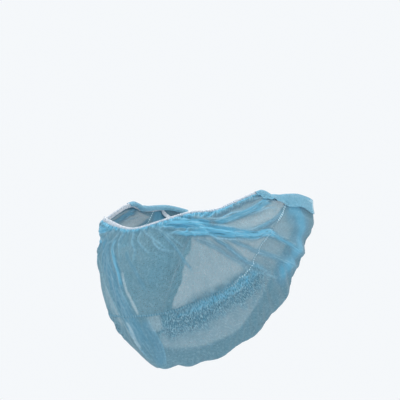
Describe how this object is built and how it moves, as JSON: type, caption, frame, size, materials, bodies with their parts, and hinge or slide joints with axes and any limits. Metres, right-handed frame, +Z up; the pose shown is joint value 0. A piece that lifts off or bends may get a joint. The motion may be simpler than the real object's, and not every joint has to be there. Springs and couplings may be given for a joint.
{
  "type": "disposable beard cover",
  "caption": "Soft blue nonwoven beard cover in its worn shape, with a gathered white elastic edge, a welded jaw seam and a hollow pouch open at the top and back.",
  "frame": {"origin": "middle of the elastic where it lies on the wearer's upper lip", "axes": "+Z up, -Y the way the wearer faces, +X the wearer's left"},
  "size_m": [0.162, 0.1672, 0.1524],
  "materials": {
    "nonwoven": "thin, matt, slightly see-through spunbond cloth",
    "weld": "pale dotted ultrasonic weld, slightly glossy",
    "elastic": "white knitted elastic, matt"
  },
  "bodies": {
    "root": {"face_panel": "nonwoven", "jaw_pouch": "nonwoven", "jaw_weld": "weld", "elastic_loop": "elastic", "ear_flap_left": "nonwoven", "ear_flap_right": "nonwoven"}
  },
  "joints": []
}
